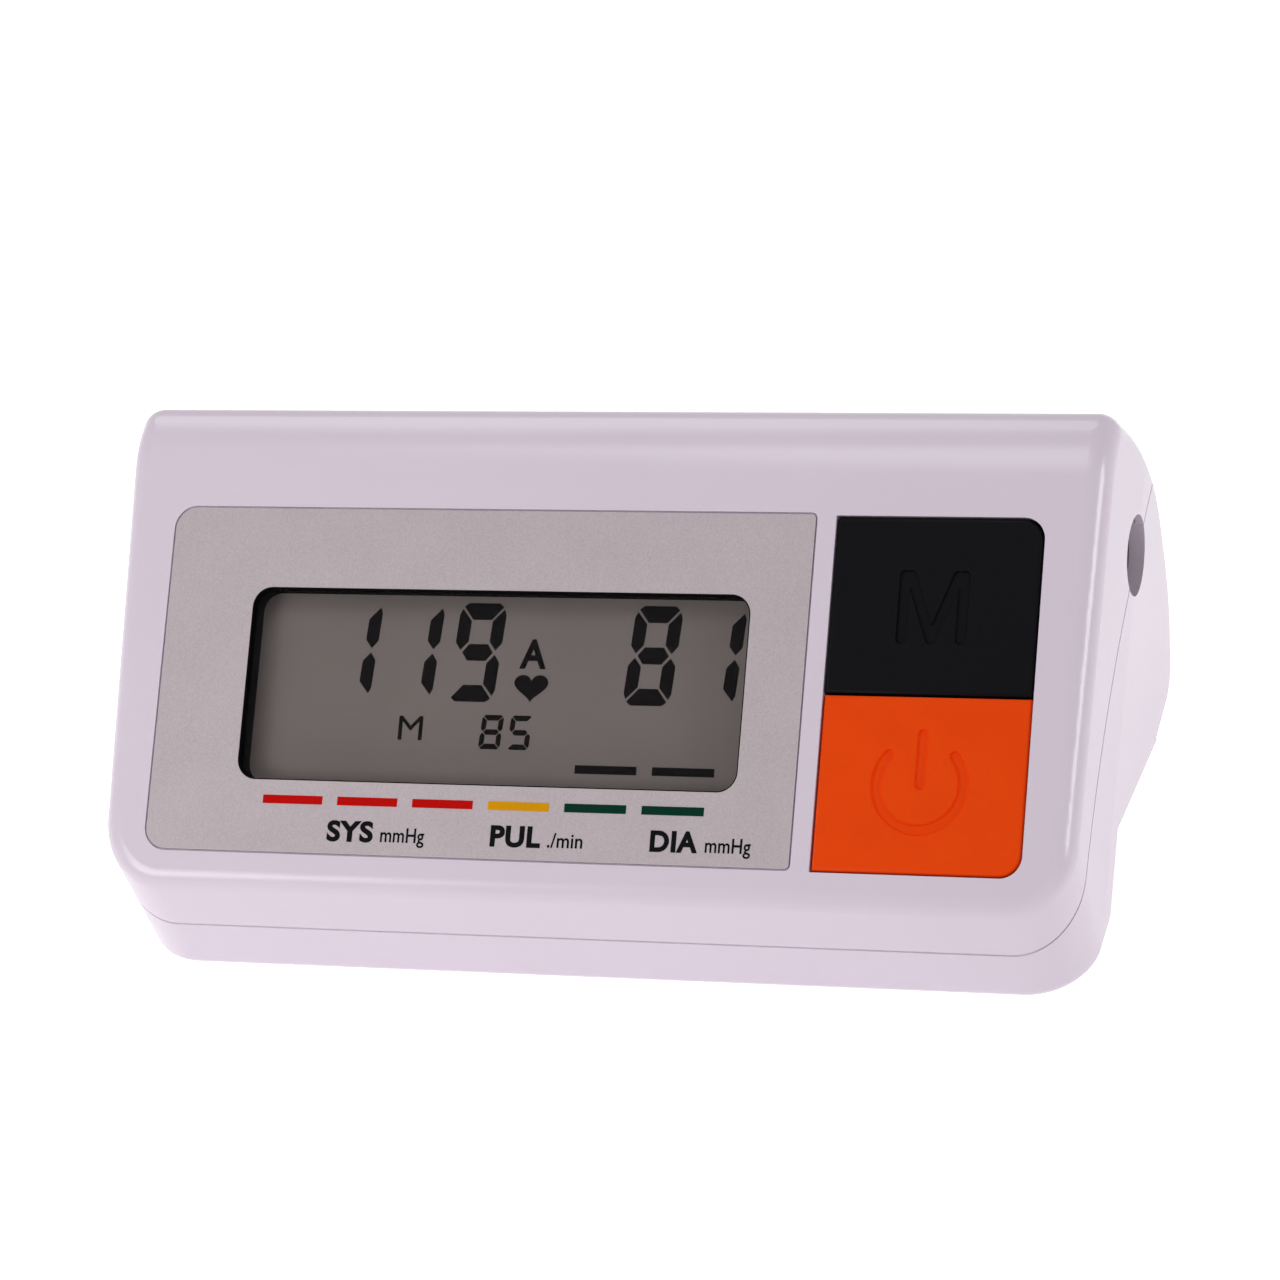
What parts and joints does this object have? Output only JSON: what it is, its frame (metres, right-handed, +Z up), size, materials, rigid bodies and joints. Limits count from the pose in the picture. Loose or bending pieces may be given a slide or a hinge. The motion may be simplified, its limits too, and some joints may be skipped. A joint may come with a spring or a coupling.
{
  "type": "arm-in blood pressure monitor",
  "caption": "Desktop upper-arm blood pressure monitor: wedge housing with a sloping display face, two large keys, a battery bay underneath, an air socket and a power jack.",
  "frame": {"origin": "centre of the bounding box's bottom, where the rubber feet stand", "axes": "+X to the user's right along the longest side, +Y to the rear, +Z up"},
  "size_m": [0.1406, 0.0684, 0.0564],
  "materials": {
    "manifold_ivory": "moulded",
    "socket_grey": "moulded",
    "cell_skin": "plain sleeve",
    "contact_nickel": "nickel plated",
    "housing_white": "smooth, semi-gloss",
    "screw_steel": "zinc plated",
    "chip_black": "moulded",
    "capacitor_blue": "shrunk sleeve",
    "can_steel": "pressed can",
    "jack_black": "moulded",
    "pin_brass": "plated",
    "valve_steel": "plated can",
    "lens_clear": "clear, glossy",
    "label_silver": "fine silver grain",
    "lcd_grey": "grey-green liquid crystal display",
    "frame_black": "black, matt",
    "board_green": "green lacquer",
    "key_black": "black, satin",
    "switch_grey": "moulded",
    "plunger_cream": "moulded",
    "key_orange": "orange, satin",
    "sensor_ivory": "moulded",
    "pump_white": "moulded",
    "motor_steel": "drawn can",
    "sleeve_rubber": "soft rubber",
    "tube_silicone": "translucent silicone",
    "foot_rubber": "grey rubber",
    "zebra_pink": "striped conductive rubber"
  },
  "bodies": {
    "housing": {"air_manifold": "manifold_ivory", "air_socket": "socket_grey", "batteries": "cell_skin", "battery_bridge": "contact_nickel", "board_screws": "screw_steel", "bottom_cover": "housing_white", "buzzer": "chip_black", "capacitor": "capacitor_blue", "case_screws": "screw_steel", "crystal": "can_steel", "dc_jack": "jack_black", "dc_jack_pin": "pin_brass", "deflation_valve": "valve_steel", "display_lens": "lens_clear", "face_label": "label_silver", "lcd_glass": "lcd_grey", "lcd_holder": "frame_black", "main_board": "board_green", "memory_switch": "switch_grey", "negative_contact": "contact_nickel", "positive_contact": "contact_nickel", "power_switch": "switch_grey", "pressure_sensor": "sensor_ivory", "processor": "chip_black", "pump_head": "pump_white", "pump_motor": "motor_steel", "pump_sleeves": "sleeve_rubber", "pump_tube": "tube_silicone", "rubber_feet": "foot_rubber", "sensor_tube": "tube_silicone", "socket_tube": "tube_silicone", "top_cover": "housing_white", "valve_tube": "tube_silicone", "zebra_strips": "zebra_pink"},
    "battery_lid": {"battery_door": "housing_white"},
    "memory_key": {"memory_button": "key_black", "memory_switch_plunger": "plunger_cream"},
    "power_key": {"power_button": "key_orange", "power_switch_plunger": "plunger_cream"}
  },
  "joints": [
    {"name": "battery_door_hinge", "type": "hinge", "parent": "housing", "child": "battery_lid", "pos_m": [0, -0.00403, 0.00855], "axis": [-1, 0, 0], "range_deg": [0, 100]},
    {"name": "memory_key_press", "type": "slide", "parent": "housing", "child": "memory_key", "axis": [0, 0.6018, -0.7986], "range_m": [0, 0.0005], "stiffness_N_per_m": 3000},
    {"name": "power_key_press", "type": "slide", "parent": "housing", "child": "power_key", "axis": [0, 0.6018, -0.7986], "range_m": [0, 0.0005], "stiffness_N_per_m": 3000}
  ]
}
